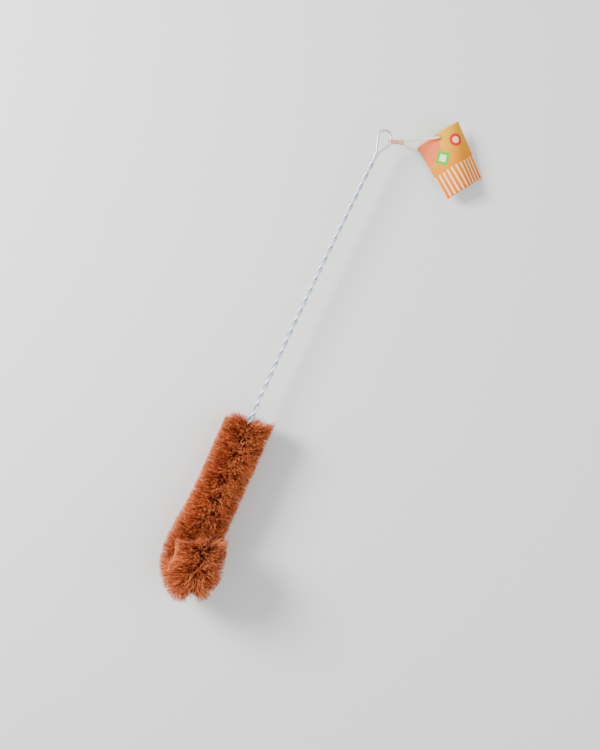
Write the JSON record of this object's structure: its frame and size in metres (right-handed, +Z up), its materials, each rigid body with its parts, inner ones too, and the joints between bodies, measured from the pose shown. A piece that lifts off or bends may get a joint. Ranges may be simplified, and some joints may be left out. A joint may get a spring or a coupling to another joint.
{
  "type": "coir bottle brush",
  "caption": "Long bottle brush of coir fibres held in a twisted wire, its bristled end bent back into a hook, with a hanging eye and a card tag on a rubber band.",
  "frame": {"origin": "on the table the brush lies on, under the middle of the brush's box of wire and bristles", "axes": "+X along the brush from the bristled head to the hanging eye, +Y to the left of the handle seen from above with the eye away, +Z up"},
  "size_m": [0.4834, 0.1224, 0.0701],
  "materials": {
    "galvanised_wire": "bright galvanised, satin",
    "coir": "natural reddish brown coir fibre, matt",
    "rubber_band": "natural latex, cream, slightly translucent",
    "tag_card": "coated card printed in orange and yellow, satin"
  },
  "bodies": {
    "root": {"twisted_wire": "galvanised_wire", "coir_bristles": "coir", "band_knot": "rubber_band", "tag_band": "rubber_band", "hang_tag": "tag_card"}
  },
  "joints": []
}
